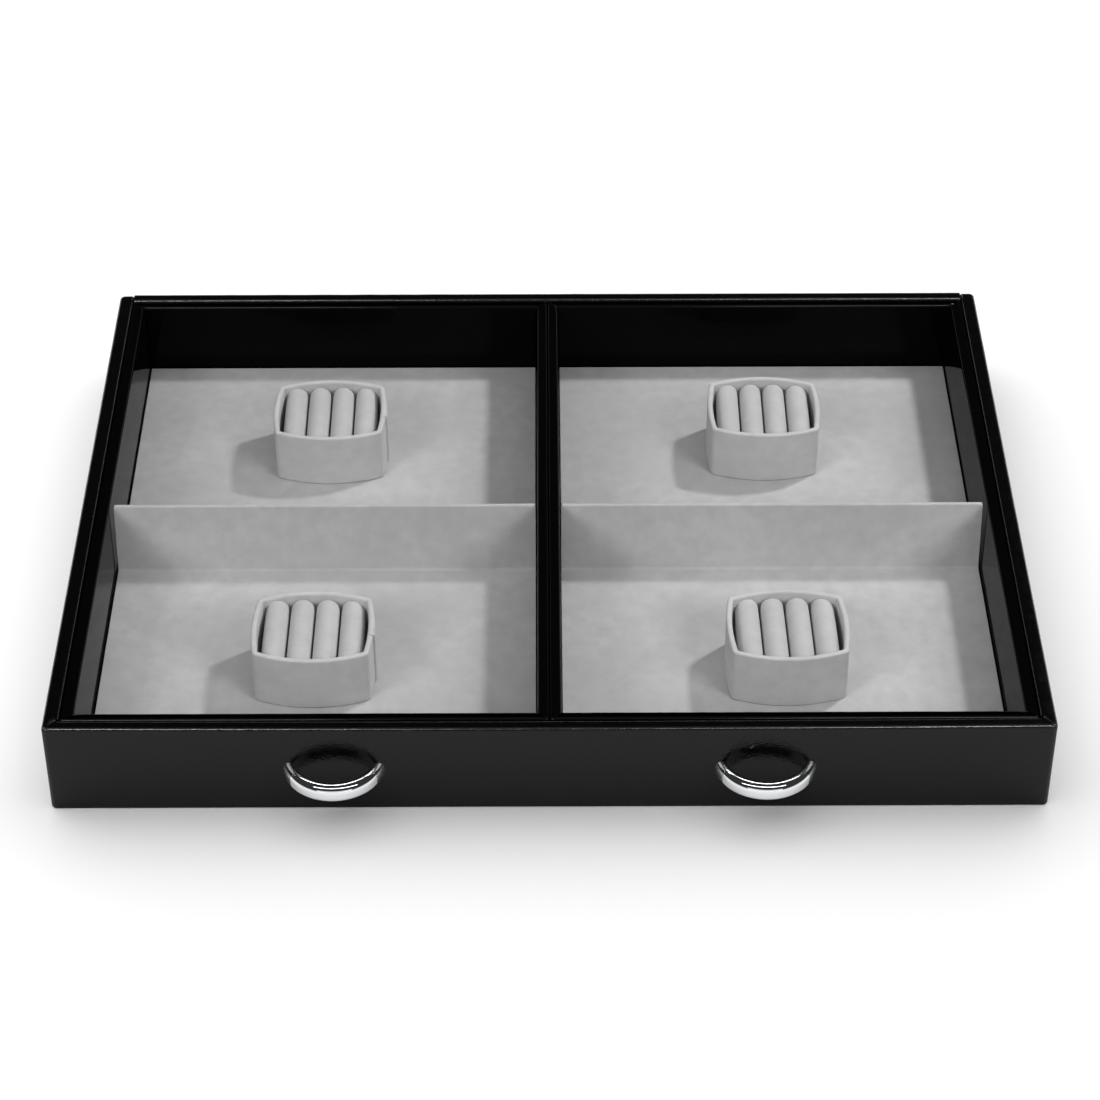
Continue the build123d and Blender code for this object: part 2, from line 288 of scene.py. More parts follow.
# Polished pebble leather: near black, with a clear sheen that the fine grain softens
pebbled = new_material("pebbled_leather_black")
tree = pebbled.node_tree
place = add_node(tree, "ShaderNodeTexCoord")
pebbles = add_node(
    tree,
    "ShaderNodeTexVoronoi",
    {"feature": "SMOOTH_F1"},
    {"Vector": place.outputs["Object"], "Scale": 1 / PEBBLE, "Smoothness": 0.6},
)
creases = add_node(
    tree,
    "ShaderNodeTexNoise",
    inputs={0: place.outputs["Object"], "Scale": 1 / (4 * PEBBLE), "Detail": 5.0},
)
relief = add_node(
    tree, "ShaderNodeMath", {"operation": "ADD"}, {0: pebbles.outputs[0], 1: creases.outputs[0]}
)
bump = add_node(
    tree, "ShaderNodeBump", {"invert": True}, {"Distance": PEBBLE_DEPTH, "Height": relief.outputs[0]}
)
polish = add_node(
    tree,
    "ShaderNodeMapRange",
    inputs={"Value": creases.outputs[0], "From Min": 0.3, "From Max": 0.7, "To Min": 0.12, "To Max": 0.2},
)
shader = add_node(
    tree,
    "ShaderNodeBsdfPrincipled",
    inputs={
        "Base Color": linear(LEATHER_BLACK),
        "Roughness": polish.outputs[0],
        "Specular IOR Level": 0.24,
        "Normal": bump.outputs[0],
    },
)
add_node(tree, "ShaderNodeOutputMaterial", inputs={0: shader.outputs[0]})

corner = Vector((outer_x, front_low.y, 0))
front = rounded_bar(
    "front_wall_leather",
    (-outer_x, front_low.y, 0),
    (outer_x, front_high.y, front_high.z),
    Vector((0, -1, 0)),
    COVER_EDGE_ROUND,
    COVER_CORNER_ROUND,
)
cut(corner, (1, 1, 0), False)
cut((-corner.x, corner.y, 0), (-1, 1, 0), False)
wrap_leather(front, 0)
for point in front.data.vertices:
    across = point.co.x / outer_x
    point.co.y -= FRONT_BOW * (1 - across**2) * point.co.z / front_high.z
fit(front, pebbled, "tray", "front_cover")

for side in (-1, 1):
    name = "left" if side < 0 else "right"
    cover = rounded_bar(
        f"{name}_wall_leather",
        (min(side * outer_x, side * filled_x), front_low.y, 0),
        (max(side * outer_x, side * filled_x), side_high.y, side_high.z),
        Vector((side, 0, 0)),
        COVER_EDGE_ROUND,
        COVER_CORNER_ROUND,
    )
    seam = Vector((side * corner.x, corner.y, 0))
    ahead = Vector((-side, -1, 0))
    cut(seam, ahead, False)
    pick("VERT", lambda p: (p - seam).dot(ahead) > -TINY and p.z > side_high.z - COVER_EDGE_ROUND)
    bpy.ops.transform.translate(value=(0, 0, MITRE_LIP))
    wrap_leather(cover, 1)
    fit(cover, pebbled, "tray", f"{name}_cover")

back_low.x, back_high.x = -filled_x, filled_x
back = rounded_bar("back_wall_leather", back_low, back_high, Vector((0, 1, 0)), COVER_EDGE_ROUND)
wrap_leather(back, 0)
fit(back, pebbled, "tray", "back_cover")

# Compartment liners: strips of board in thin glazed black leather, four round each compartment,
# mitred at the corners and standing on the bottom board against the walls. Their rolled top edges
# sit a little below the walls', and the two middle ones stand back to back.
LINER_EDGE_ROUND = 1.2 * MM
LINER_SEAM_ROUND = 0.25 * MM
LINER_BLACK = "#040404"
SKIN = 0.5 * MM
SKIN_DEPTH = 0.005 * MM
SIDE_STRIP_EXTRA = 0.5 * MM  # the strips along the side walls are cut thicker
SIDE_STRIP_LEAN = 0.5 * MM  # and lean in at the foot

# Glazed skiver: thin smooth leather with a glassy finish, so low light slides along it
glazed = new_material("glazed_leather_black")
tree = glazed.node_tree
place = add_node(tree, "ShaderNodeTexCoord")
skin = add_node(
    tree, "ShaderNodeTexNoise", inputs={0: place.outputs["Object"], "Scale": 1 / SKIN, "Detail": 3.0}
)
bump = add_node(tree, "ShaderNodeBump", inputs={"Distance": SKIN_DEPTH, "Height": skin.outputs[0]})
shader = add_node(
    tree,
    "ShaderNodeBsdfPrincipled",
    inputs={
        "Base Color": linear(LINER_BLACK),
        "Roughness": 0.08,
        "Specular IOR Level": 0.05,
        "Normal": bump.outputs[0],
    },
)
add_node(tree, "ShaderNodeOutputMaterial", inputs={0: shader.outputs[0]})


def copy_piece(piece, name, move):
    """A copy with a mesh of its own, moved or mirrored in the mesh."""
    twin = piece.copy()
    twin.data = piece.data.copy()
    twin.name = name
    twin.data.name = name
    twin.data.transform(move)
    if move.is_negative:
        twin.data.flip_normals()
    bpy.context.collection.objects.link(twin)
    return twin


def mitred_strip(name, low, high, outward, axis, next_to):
    """A liner strip in a box, each end cut to a mitre with the strip of a given thickness next to it."""
    strip = rounded_bar(name, low, high, outward, LINER_EDGE_ROUND, LINER_EDGE_ROUND)
    middle = (low + high) / 2
    thickness = (high - low)[1 - axis]
    face = middle + outward * thickness / 2
    for end, neighbour in zip((low, high), next_to):
        point = face.copy()
        point[axis] = end[axis]
        ahead = -outward * neighbour
        ahead[axis] = math.copysign(thickness, end[axis] - middle[axis])
        ahead.normalize()
        cut(point, ahead, True)
        pick("EDGE", lambda a, b: min((a - point).dot(ahead), (b - point).dot(ahead)) > -TINY)
        round_picked(LINER_SEAM_ROUND, 2)
    slice_along(axis, SLICE)
    bpy.ops.object.mode_set(mode="OBJECT")
    return strip


centre_low, centre_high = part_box("left_liner_centre")
plain = centre_high.x - centre_low.x
facing = Vector((1, 0, 0))
centre_strip = mitred_strip("left_liner_centre_strip", centre_low, centre_high, facing, 1, (plain, plain))

outer_low, outer_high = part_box("left_liner_outer")
outer_low.x += SIDE_WALL_FILL
outer_high.x += SIDE_WALL_FILL + SIDE_STRIP_EXTRA
thicker = outer_high.x - outer_low.x
facing = Vector((-1, 0, 0))
outer_strip = mitred_strip("left_liner_outer_strip", outer_low, outer_high, facing, 1, (plain, plain))
bpy.ops.object.mode_set(mode="EDIT")
pick("VERT", lambda p: p.z < outer_low.z + TINY and p.x > outer_high.x - TINY)
bpy.ops.transform.translate(value=(SIDE_STRIP_LEAN, 0, 0))
bpy.ops.object.mode_set(mode="OBJECT")

end_low, end_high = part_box("left_liner_front")
end_low.x += SIDE_WALL_FILL
facing = Vector((0, -1, 0))
front_strip = mitred_strip("left_liner_front_strip", end_low, end_high, facing, 0, (thicker, plain))

half_turn = Matrix.Rotation(math.pi, 4, "Z")
mirror = Matrix.Scale(-1, 4, (1, 0, 0))
strips = {
    "left_liner_front": front_strip,
    "left_liner_outer": outer_strip,
    "left_liner_centre": centre_strip,
    "left_liner_back": copy_piece(front_strip, "left_liner_back_strip", half_turn @ mirror),
    "right_liner_front": copy_piece(front_strip, "right_liner_front_strip", mirror),
    "right_liner_outer": copy_piece(outer_strip, "right_liner_outer_strip", half_turn),
    "right_liner_centre": copy_piece(centre_strip, "right_liner_centre_strip", half_turn),
    "right_liner_back": copy_piece(front_strip, "right_liner_back_strip", half_turn),
}
for node, strip in strips.items():
    let_ripple(strip, RIPPLE_DEPTH)
    smooth(strip)
    fit(strip, glazed, "tray", node)

# Floor panels: grey card, one in each compartment, with microsuede drawn over the top and edges.
# They are cut a little short at the outer walls and lie on the bottom board.
SUEDE = 0.4 * MM
SUEDE_EDGE_ROUND = 0.4 * MM
PANEL_SHORT = 1.2 * MM
CARD_EDGE_ROUND = 0.2 * MM
SUEDE_GREY = "#b6b6b6"
SUEDE_BRUSHED = "#a8a8a8"
NAP = 0.5 * MM  # coarser than the real fibres, so that it shows
NAP_DEPTH = 0.05 * MM
MOTTLE = 5 * MM
BRUSH_MARK = 45 * MM
CARD_GREY = "#8c8a86"
CARD_FIBRE = 1.2 * MM

# Pulp card: dull grey, with short fibres pressed into the face
card = new_material("grey_pulp_card")
tree = card.node_tree
place = add_node(tree, "ShaderNodeTexCoord")
pulp = add_node(
    tree,
    "ShaderNodeTexNoise",
    inputs={0: place.outputs["Object"], "Scale": 1 / CARD_FIBRE, "Detail": 6.0},
)
bump = add_node(tree, "ShaderNodeBump", inputs={"Distance": NAP_DEPTH, "Height": pulp.outputs[0]})
shader = add_node(
    tree,
    "ShaderNodeBsdfPrincipled",
    inputs={"Base Color": linear(CARD_GREY), "Roughness": 0.85, "Normal": bump.outputs[0]},
)
add_node(tree, "ShaderNodeOutputMaterial", inputs={0: shader.outputs[0]})


def microsuede(name, plain, brushed):
    """Sanded microfibre: dull, with a soft bloom at the edges and patches where the nap lies over."""
    material = new_material(name)
    tree = material.node_tree
    place = add_node(tree, "ShaderNodeTexCoord")
    at = place.outputs["Object"]
    nap = add_node(tree, "ShaderNodeTexNoise", inputs={0: at, "Scale": 1 / NAP, "Detail": 3.0})
    mottle = add_node(tree, "ShaderNodeTexNoise", inputs={0: at, "Scale": 1 / MOTTLE, "Detail": 5.0})
    marks = add_node(
        tree,
        "ShaderNodeTexNoise",
        inputs={0: at, "Scale": 1 / BRUSH_MARK, "Detail": 2.0, "Distortion": 0.8},
    )
    lie = add_node(
        tree, "ShaderNodeMath", {"operation": "MULTIPLY"}, {0: mottle.outputs[0], 1: marks.outputs[0]}
    )
    share = add_node(
        tree, "ShaderNodeMapRange", inputs={"Value": lie.outputs[0], "From Min": 0.12, "From Max": 0.4}
    )
    colour = add_node(
        tree,
        "ShaderNodeMix",
        {"data_type": "RGBA"},
        {0: share.outputs[0], 6: linear(brushed), 7: linear(plain)},
    )
    bump = add_node(tree, "ShaderNodeBump", inputs={"Distance": NAP_DEPTH, "Height": nap.outputs[0]})
    shader = add_node(
        tree,
        "ShaderNodeBsdfPrincipled",
        inputs={
            "Base Color": colour.outputs[2],
            "Roughness": 0.95,
            "Specular IOR Level": 0.2,
            "Sheen Weight": 0.15,
            "Sheen Roughness": 0.6,
            "Normal": bump.outputs[0],
        },
    )
    add_node(tree, "ShaderNodeOutputMaterial", inputs={0: shader.outputs[0]})
    return material


grey_suede = microsuede("microsuede_grey", SUEDE_GREY, SUEDE_BRUSHED)

panel_low, panel_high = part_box("left_floor_suede")
panel_low.x += PANEL_SHORT
left_panel = start_block("left_floor_panel_suede", panel_low, panel_high)
pick("EDGE", lambda a, b: max(a.z, b.z) > panel_low.z + TINY)
round_picked(SUEDE_EDGE_ROUND, 3)
pick("FACE", lambda middle, normal: normal.z < -0.9)
bpy.ops.mesh.delete(type="FACE")
bpy.ops.object.mode_set(mode="OBJECT")
apply_modifier(left_panel, "SOLIDIFY", {"thickness": SUEDE, "offset": -1, "use_even_offset": True})
smooth(left_panel)

card_low = panel_low + Vector((SUEDE, SUEDE, 0))
card_high = panel_high - Vector((SUEDE, SUEDE, SUEDE))
left_card = start_block("left_floor_panel_card", card_low, card_high)
bpy.ops.mesh.select_all(action="SELECT")
round_picked(CARD_EDGE_ROUND, 2)
bpy.ops.object.mode_set(mode="OBJECT")
smooth(left_card)

right_panel = copy_piece(left_panel, "right_floor_panel_suede", mirror)
right_card = copy_piece(left_card, "right_floor_panel_card", mirror)
fit(left_panel, grey_suede, "tray", "left_floor_suede")
fit(right_panel, grey_suede, "tray", "right_floor_suede")
fit(left_card, card, "tray", "left_floor_card")
fit(right_card, card, "tray", "right_floor_card")

# Dividers: a loose insert in each compartment, thin card creased once and covered with microsuede.
# Its front half lies on the floor panel and the back turns up into a wall that leans backwards.
DIVIDER_FLOOR = 1.17 * MM
DIVIDER_WALL = 1.6 * MM
DIVIDER_LEAN = math.radians(10)
DIVIDER_CREASE_ROUND = 1.0 * MM
DIVIDER_TOP_ROUND = 0.6 * MM
DIVIDER_PUSH = 0.6 * MM
DIVIDER_SHORT = 0.4 * MM

fold_low, fold_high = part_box("left_divider_suede")
fold_low.x += DIVIDER_PUSH + DIVIDER_SHORT
fold_high.x += DIVIDER_PUSH


def divider_fold(name, skin):
    """The folded insert with a skin of some depth taken off all round."""
    low = fold_low + Vector((skin, skin, skin))
    high = fold_high - Vector((skin, skin, skin))
    floor_z = fold_low.z + DIVIDER_FLOOR - skin
    rise = high.z - floor_z
    set_back = rise * math.tan(DIVIDER_LEAN)
    heel_y = high.y - set_back
    foot_y = heel_y - (DIVIDER_WALL - 2 * skin) / math.cos(DIVIDER_LEAN)
    fold = start_block(name, low, (high.x, heel_y, floor_z))
    bpy.ops.mesh.select_all(action="SELECT")
    bpy.ops.mesh.bisect(plane_co=(0, foot_y, 0), plane_no=(0, 1, 0), threshold=TINY)
    pick("FACE", lambda middle, normal: normal.z > 0.9 and middle.y > foot_y)
    bpy.ops.mesh.extrude_region_move(TRANSFORM_OT_translate={"value": (0, set_back, rise)})
    pick("EDGE", lambda a, b: max(abs(p.y - foot_y) + abs(p.z - floor_z) for p in (a, b)) < TINY)
    round_picked(DIVIDER_CREASE_ROUND + skin, 5)
    pick("EDGE", lambda a, b: min(a.z, b.z) > high.z - TINY)
    round_picked(DIVIDER_TOP_ROUND - skin, 4)
    bpy.ops.object.mode_set(mode="OBJECT")
    smooth(fold)
    return fold


left_suede = divider_fold("left_divider_fold", 0)
left_core = divider_fold("left_divider_core", SUEDE)
right_suede = copy_piece(left_suede, "right_divider_fold", mirror)
right_core = copy_piece(left_core, "right_divider_core", mirror)
fit(left_suede, grey_suede, "left_divider", "left_divider_suede")
fit(right_suede, grey_suede, "right_divider", "right_divider_suede")
fit(left_core, card, "left_divider", "left_divider_card")
fit(right_core, card, "right_divider", "right_divider_card")

# Ring boxes: four loose cushion-shaped boxes. The wall is one strip of card wrapped in microsuede,
# bent round a card base with a soft rim. On the two left boxes the strip's end laps over and shows.
# Each box stands a little askew, by these degrees
BOXES = {"left_rear": 0.3, "right_rear": -0.5, "left_front": -0.3, "right_front": 0.7}
BOX_WIDTH = 39.2 * MM
BOX_DEPTH = 29.2 * MM
BOX_HEIGHT = 21.1 * MM
BOX_FRONT_BOW = 4.2 * MM
BOX_SIDE_BOW = 1.3 * MM
BOX_CORNER = 2.2 * MM
BOX_WALL = 2.0 * MM
BOX_RIM_ROUND = 0.8 * MM
BOX_RIPPLE = 0.12 * MM
BOX_FRONT_STEPS = 20
BOX_SIDE_STEPS = 12
BOX_CORNER_STEPS = 5
BOX_GREY = "#bfbfbf"
BOX_BRUSHED = "#b3b3b3"
LAP_Y = -5 * MM
LAP_STEP = 0.65 * MM
LAP_RISE = 0.2 * MM
LAP_FADE = 15 * MM
LAP_SLIT = 0.2 * MM
LAP_PRESS = 0.5  # how far the slit sinks, as a share of the step
finish_nodes([f"{box}_base" for box in BOXES], card)

front_radius = (BOX_WIDTH**2 / 4 + BOX_FRONT_BOW**2) / (2 * BOX_FRONT_BOW)
front_half_angle = math.asin(BOX_WIDTH / 2 / front_radius)
front_centre = Vector((0, front_radius - BOX_DEPTH / 2 - BOX_FRONT_BOW, 0))
side_radius = (BOX_DEPTH**2 / 4 + BOX_SIDE_BOW**2) / (2 * BOX_SIDE_BOW)
side_half_angle = math.asin(BOX_DEPTH / 2 / side_radius)
side_centre = Vector((side_radius - BOX_WIDTH / 2 - BOX_SIDE_BOW, 0, 0))


def place_of(box):
    """Where a ring box stands on its floor, and how it is turned."""
    low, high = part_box(f"{box}_shell")
    middle = (low + high) / 2
    turn = Matrix.Rotation(math.radians(BOXES[box]), 4, "Z")
    return Matrix.Translation((middle.x, middle.y, low.z)) @ turn


bpy.ops.object.select_all(action="DESELECT")
bpy.ops.mesh.primitive_plane_add(size=MM, location=(-BOX_WIDTH / 2, -BOX_DEPTH / 2, 0))
plain_wall = bpy.context.object
bpy.ops.object.transform_apply(location=True, rotation=False, scale=False)
bpy.ops.object.mode_set(mode="EDIT")
bpy.ops.mesh.select_mode(type="VERT")
bpy.ops.mesh.select_all(action="SELECT")
bpy.ops.mesh.merge(type="CENTER")
bpy.ops.mesh.select_all(action="SELECT")
for half_angle, centre, steps in (
    (front_half_angle, front_centre, BOX_FRONT_STEPS),
    (side_half_angle, -side_centre, BOX_SIDE_STEPS),
    (front_half_angle, -front_centre, BOX_FRONT_STEPS),
    (side_half_angle, side_centre, BOX_SIDE_STEPS),
):
    bpy.ops.mesh.spin(steps=steps, angle=-2 * half_angle, center=centre, axis=(0, 0, 1))
bpy.ops.mesh.select_all(action="SELECT")
bpy.ops.mesh.remove_doubles(threshold=TINY)
pick("VERT", lambda p: abs(abs(p.x) - BOX_WIDTH / 2) + abs(abs(p.y) - BOX_DEPTH / 2) < TINY)
corner_reach = BOX_CORNER * math.tan((math.pi / 2 - front_half_angle - side_half_angle) / 2)
bpy.ops.mesh.bevel(offset=corner_reach, segments=BOX_CORNER_STEPS, profile=0.5, affect="VERTICES")
bpy.ops.mesh.select_all(action="SELECT")
bpy.ops.mesh.extrude_region_move(TRANSFORM_OT_translate={"value": (0, 0, BOX_HEIGHT)})
bpy.ops.mesh.select_all(action="SELECT")
bpy.ops.mesh.normals_make_consistent(inside=False)
bpy.ops.object.mode_set(mode="OBJECT")
apply_modifier(plain_wall, "SOLIDIFY", {"thickness": BOX_WALL, "offset": -1, "use_even_offset": True})
rim = {"width": BOX_RIM_ROUND, "segments": 4, "limit_method": "ANGLE", "angle_limit": math.radians(60)}
apply_modifier(plain_wall, "BEVEL", rim)

# The lap: cut the right wall across, press in the slit and lift the end that lies on top
lapped_wall = copy_piece(plain_wall, "lapped_wall", Matrix())
take(lapped_wall)
bpy.ops.object.mode_set(mode="EDIT")
for y in (LAP_Y - LAP_SLIT, LAP_Y, LAP_Y + LAP_SLIT):
    pick("FACE", lambda middle, normal: middle.x > BOX_WIDTH / 2 - 2 * BOX_WALL)
    bpy.ops.mesh.bisect(plane_co=(0, y, 0), plane_no=(0, 1, 0), threshold=TINY)
bpy.ops.object.mode_set(mode="OBJECT")
inner_face = BOX_WIDTH / 2 + BOX_SIDE_BOW - BOX_WALL
for point in lapped_wall.data.vertices:
    through = min(max((point.co.x - inner_face) / BOX_WALL, 0), 1)
    up = min(max((point.co.z - BOX_HEIGHT + BOX_WALL) / BOX_WALL, 0), 1)
    past = point.co.y - LAP_Y
    if point.co.x < 0 or past < -TINY or past > LAP_FADE:
        continue
    lift = -LAP_PRESS if past < TINY else 1 - past / LAP_FADE
    point.co += lift * Vector((LAP_STEP * through, 0, LAP_RISE * up))

box_suede = microsuede("microsuede_light_grey", BOX_GREY, BOX_BRUSHED)
for box in BOXES:
    wall = lapped_wall if box.startswith("left") else plain_wall
    shell = copy_piece(wall, f"{box}_ring_box_wall", place_of(box))
    let_ripple(shell, BOX_RIPPLE)
    smooth(shell)
    fit(shell, box_suede, f"{box}_ring_box", f"{box}_shell")
bpy.data.objects.remove(plain_wall)
bpy.data.objects.remove(lapped_wall)

# Ring rolls: four to a box, foam bars under paler microsuede, set side by side on edge so that rings
# are held in the slits between them. Their ends follow the bowed walls, and the cloth is taut.
ROLL_WIDTH = 8.4 * MM
ROLL_PITCH = 8.7 * MM
ROLL_FOOT = 2.0 * MM
ROLL_TOP = 20.5 * MM
ROLL_CROWN = 3.9 * MM
ROLL_END_ROUND = 1.2 * MM
ROLL_REAR_ROUND = 1.8 * MM
INNER_ROLL_REAR = 15.3 * MM
OUTER_ROLL_REAR = 14.7 * MM
ROLL_END_CLEARANCE = 0.4 * MM
ROLL_TUCK = 0.35 * MM
ROLL_SWELL = 0.25 * MM
ROLL_GREY = "#b8b8b8"
ROLL_BRUSHED = "#aeaeae"
VOXEL = 0.45 * MM
CLOTH_SCALE = 20
CLOTH_FRAMES = 20
CLOTH_PRESSURE = 4

roll_suede = microsuede("microsuede_pale_grey", ROLL_GREY, ROLL_BRUSHED)


def puff(piece):
    """Blows a pad up as cloth. Blender's cloth is made for larger things, so it is enlarged for it."""
    piece.data.transform(Matrix.Scale(CLOTH_SCALE, 4))
    piece.data.remesh_voxel_size = VOXEL * CLOTH_SCALE
    bpy.ops.object.voxel_remesh()
    seat = piece.vertex_groups.new(name="seat")
    glued = [v.index for v in piece.data.vertices if v.co.z < (ROLL_FOOT + 2 * VOXEL) * CLOTH_SCALE]
    seat.add(glued, 1.0, "REPLACE")
    before = [v.co.copy() for v in piece.data.vertices]
    cloth = piece.modifiers.new("stuffing", "CLOTH")
    cloth.settings.use_pressure = True
    cloth.settings.uniform_pressure_force = CLOTH_PRESSURE
    cloth.settings.effector_weights.gravity = 0
    cloth.settings.vertex_group_mass = "seat"
    cloth.point_cache.frame_start = 1
    cloth.point_cache.frame_end = CLOTH_FRAMES
    for step in range(1, CLOTH_FRAMES + 1):
        bpy.context.scene.frame_set(step)
    bpy.ops.object.modifier_apply(modifier=cloth.name)
    bpy.context.scene.frame_set(1)
    limit = ROLL_SWELL * CLOTH_SCALE
    for point, start in zip(piece.data.vertices, before):
        move = point.co - start
        if move.length > limit:
            point.co = start + move * (limit / move.length)
    piece.vertex_groups.clear()
    piece.data.transform(Matrix.Scale(1 / CLOTH_SCALE, 4))


def foam_roll(name, x, rear_y):
    """A D-shaped bar a little under size, its ends cut to the bowed walls, then puffed out."""
    low = (x - ROLL_WIDTH / 2 + ROLL_TUCK, -BOX_DEPTH, ROLL_FOOT)
    high = (x + ROLL_WIDTH / 2 - ROLL_TUCK, BOX_DEPTH, ROLL_TOP - ROLL_TUCK)
    roll = start_block(name, low, high)
    pick("EDGE", lambda a, b: min(a.z, b.z) > high[2] - TINY and abs(a.y - b.y) > TINY)
    round_picked(ROLL_CROWN, 8)
    end_radius = front_radius - BOX_WALL - ROLL_END_CLEARANCE - ROLL_TUCK
    lean = math.asin(x / end_radius)
    front_y = front_centre.y - end_radius * math.cos(lean)
    ends = (
        (Vector((x, front_y, 0)), Vector((math.sin(lean), -math.cos(lean), 0)), ROLL_END_ROUND),
        (Vector((x, rear_y, 0)), Vector((math.sin(lean / 2), math.cos(lean / 2), 0)), ROLL_REAR_ROUND),
    )
    for end, ahead, radius in ends:
        cut(end, ahead, True)
        pick("EDGE", lambda a, b: min((a - end).dot(ahead), (b - end).dot(ahead)) > -TINY)
        round_picked(radius, 4)
    bpy.ops.object.mode_set(mode="OBJECT")
    puff(roll)
    apply_modifier(roll, "SMOOTH", {"factor": 0.5, "iterations": 4})
    smooth(roll, 60)
    return roll


inner_roll = foam_roll("inner_roll", ROLL_PITCH / 2, INNER_ROLL_REAR)
outer_roll = foam_roll("outer_roll", ROLL_PITCH * 1.5, OUTER_ROLL_REAR)
ranks = {1: (outer_roll, True), 2: (inner_roll, True), 3: (inner_roll, False), 4: (outer_roll, False)}
for box in BOXES:
    for rank, (roll, mirrored) in ranks.items():
        move = place_of(box) @ mirror if mirrored else place_of(box)
        pad = copy_piece(roll, f"{box}_ring_roll_{rank}", move)
        fit(pad, roll_suede, f"{box}_ring_box", f"{box}_roll_{rank}")
bpy.data.objects.remove(inner_roll)
bpy.data.objects.remove(outer_roll)

# Handles: two bows bent from flat bar with a domed top and a rounded foot, then chromed. Each is fixed
# by two studs that go through the front wall to zinc-plated nuts, let in behind the liner.
HANDLE_X = 70.7 * MM
HANDLE_Z = 17.5 * MM
HANDLE_THICKNESS = 3.6 * MM
HANDLE_HEIGHT = 5.9 * MM
HANDLE_TOP_ROUND = 2.8 * MM
HANDLE_FOOT_ROUND = 1.8 * MM
HANDLE_INNER_ROUND = 0.45 * MM
STUD_DIAMETER = 2.2 * MM
STUD_LENGTH = 5.2 * MM
STUD_ROOT = 0.6 * MM
STUD_SIDES = 24
BEND_STEPS = 72
OUTER_ROUND_STEPS = 14
INNER_ROUND_STEPS = 8
ZINC_CRYSTAL = 0.5 * MM
CHROME = "#e2e3e5"
ZINC = "#a9acb0"

# Polished chrome: a clear mirror of the room
chrome = new_material("polished_chrome")
tree = chrome.node_tree
shader = add_node(
    tree,
    "ShaderNodeBsdfPrincipled",
    inputs={"Base Color": linear(CHROME), "Metallic": 1.0, "Roughness": 0.03},
)
add_node(tree, "ShaderNodeOutputMaterial", inputs={0: shader.outputs[0]})

# Zinc plating: a soft grey shine, a little uneven
zinc = new_material("zinc_plated_steel")
tree = zinc.node_tree
place = add_node(tree, "ShaderNodeTexCoord")
dull = add_node(
    tree,
    "ShaderNodeTexNoise",
    inputs={0: place.outputs["Object"], "Scale": 1 / ZINC_CRYSTAL, "Detail": 2.0},
)
polish = add_node(
    tree, "ShaderNodeMapRange", inputs={"Value": dull.outputs[0], "To Min": 0.3, "To Max": 0.5}
)
shader = add_node(
    tree,
    "ShaderNodeBsdfPrincipled",
    inputs={"Base Color": linear(ZINC), "Metallic": 1.0, "Roughness": polish.outputs[0]},
)
add_node(tree, "ShaderNodeOutputMaterial", inputs={0: shader.outputs[0]})
finish_nodes(["left_handle_nuts", "right_handle_nuts"], zinc)

handle_low, handle_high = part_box("left_handle")
front_y = front_low.y
bow_half = (handle_high.x - handle_low.x) / 2
bow_reach = front_y - handle_low.y
bow_outer = (bow_half**2 + bow_reach**2) / (2 * bow_reach)
bow_centre = Vector((-HANDLE_X, handle_low.y + bow_outer, HANDLE_Z))
bar = bow_outer - HANDLE_THICKNESS / 2

bpy.ops.object.select_all(action="DESELECT")
bar_end = bow_centre - Vector((bar, 0, 0))
bpy.ops.mesh.primitive_plane_add(size=1, location=bar_end, rotation=(math.pi / 2, 0, 0))
left_handle = bpy.context.object
left_handle.name = "left_bow_handle"
left_handle.scale = (HANDLE_THICKNESS, HANDLE_HEIGHT, 1)
bpy.ops.object.transform_apply(location=True, rotation=True, scale=True)
bpy.ops.object.mode_set(mode="EDIT")
pick("VERT", lambda p: p.x < bow_centre.x - bar and p.z > HANDLE_Z)
bpy.ops.mesh.bevel(offset=HANDLE_TOP_ROUND, segments=OUTER_ROUND_STEPS, profile=0.5, affect="VERTICES")
pick("VERT", lambda p: p.x < bow_centre.x - bar and p.z < HANDLE_Z - HANDLE_HEIGHT / 2 + TINY)
bpy.ops.mesh.bevel(offset=HANDLE_FOOT_ROUND, segments=OUTER_ROUND_STEPS, profile=0.5, affect="VERTICES")
pick("VERT", lambda p: p.x > bow_centre.x - bar + HANDLE_THICKNESS / 2 - TINY)
bpy.ops.mesh.bevel(offset=HANDLE_INNER_ROUND, segments=INNER_ROUND_STEPS, profile=0.5, affect="VERTICES")
bpy.ops.mesh.select_all(action="SELECT")
bpy.ops.mesh.spin(steps=BEND_STEPS, angle=-math.pi, center=bow_centre, axis=(0, 0, 1))
cut((0, front_y, 0), (0, 1, 0), True)
bpy.ops.mesh.select_all(action="SELECT")
bpy.ops.mesh.remove_doubles(threshold=TINY)
bpy.ops.mesh.normals_make_consistent(inside=False)
for end in (-1, 1):
    stud_x = bow_centre.x + end * (bow_half - HANDLE_THICKNESS / 2)
    stud_y = front_y - STUD_ROOT + STUD_LENGTH / 2
    bpy.ops.mesh.primitive_cylinder_add(
        vertices=STUD_SIDES,
        radius=STUD_DIAMETER / 2,
        depth=STUD_LENGTH,
        location=(stud_x, stud_y, HANDLE_Z),
        rotation=(math.pi / 2, 0, 0),
    )
tip_y = front_y - STUD_ROOT + STUD_LENGTH
pick("EDGE", lambda a, b: min(a.y, b.y) > tip_y - TINY)
round_picked(STUD_DIAMETER / 8, 2)
bpy.ops.object.mode_set(mode="OBJECT")
smooth(left_handle, 50)
right_handle = copy_piece(left_handle, "right_bow_handle", Matrix.Translation((2 * HANDLE_X, 0, 0)))
fit(left_handle, chrome, "tray", "left_handle")
fit(right_handle, chrome, "tray", "right_handle")

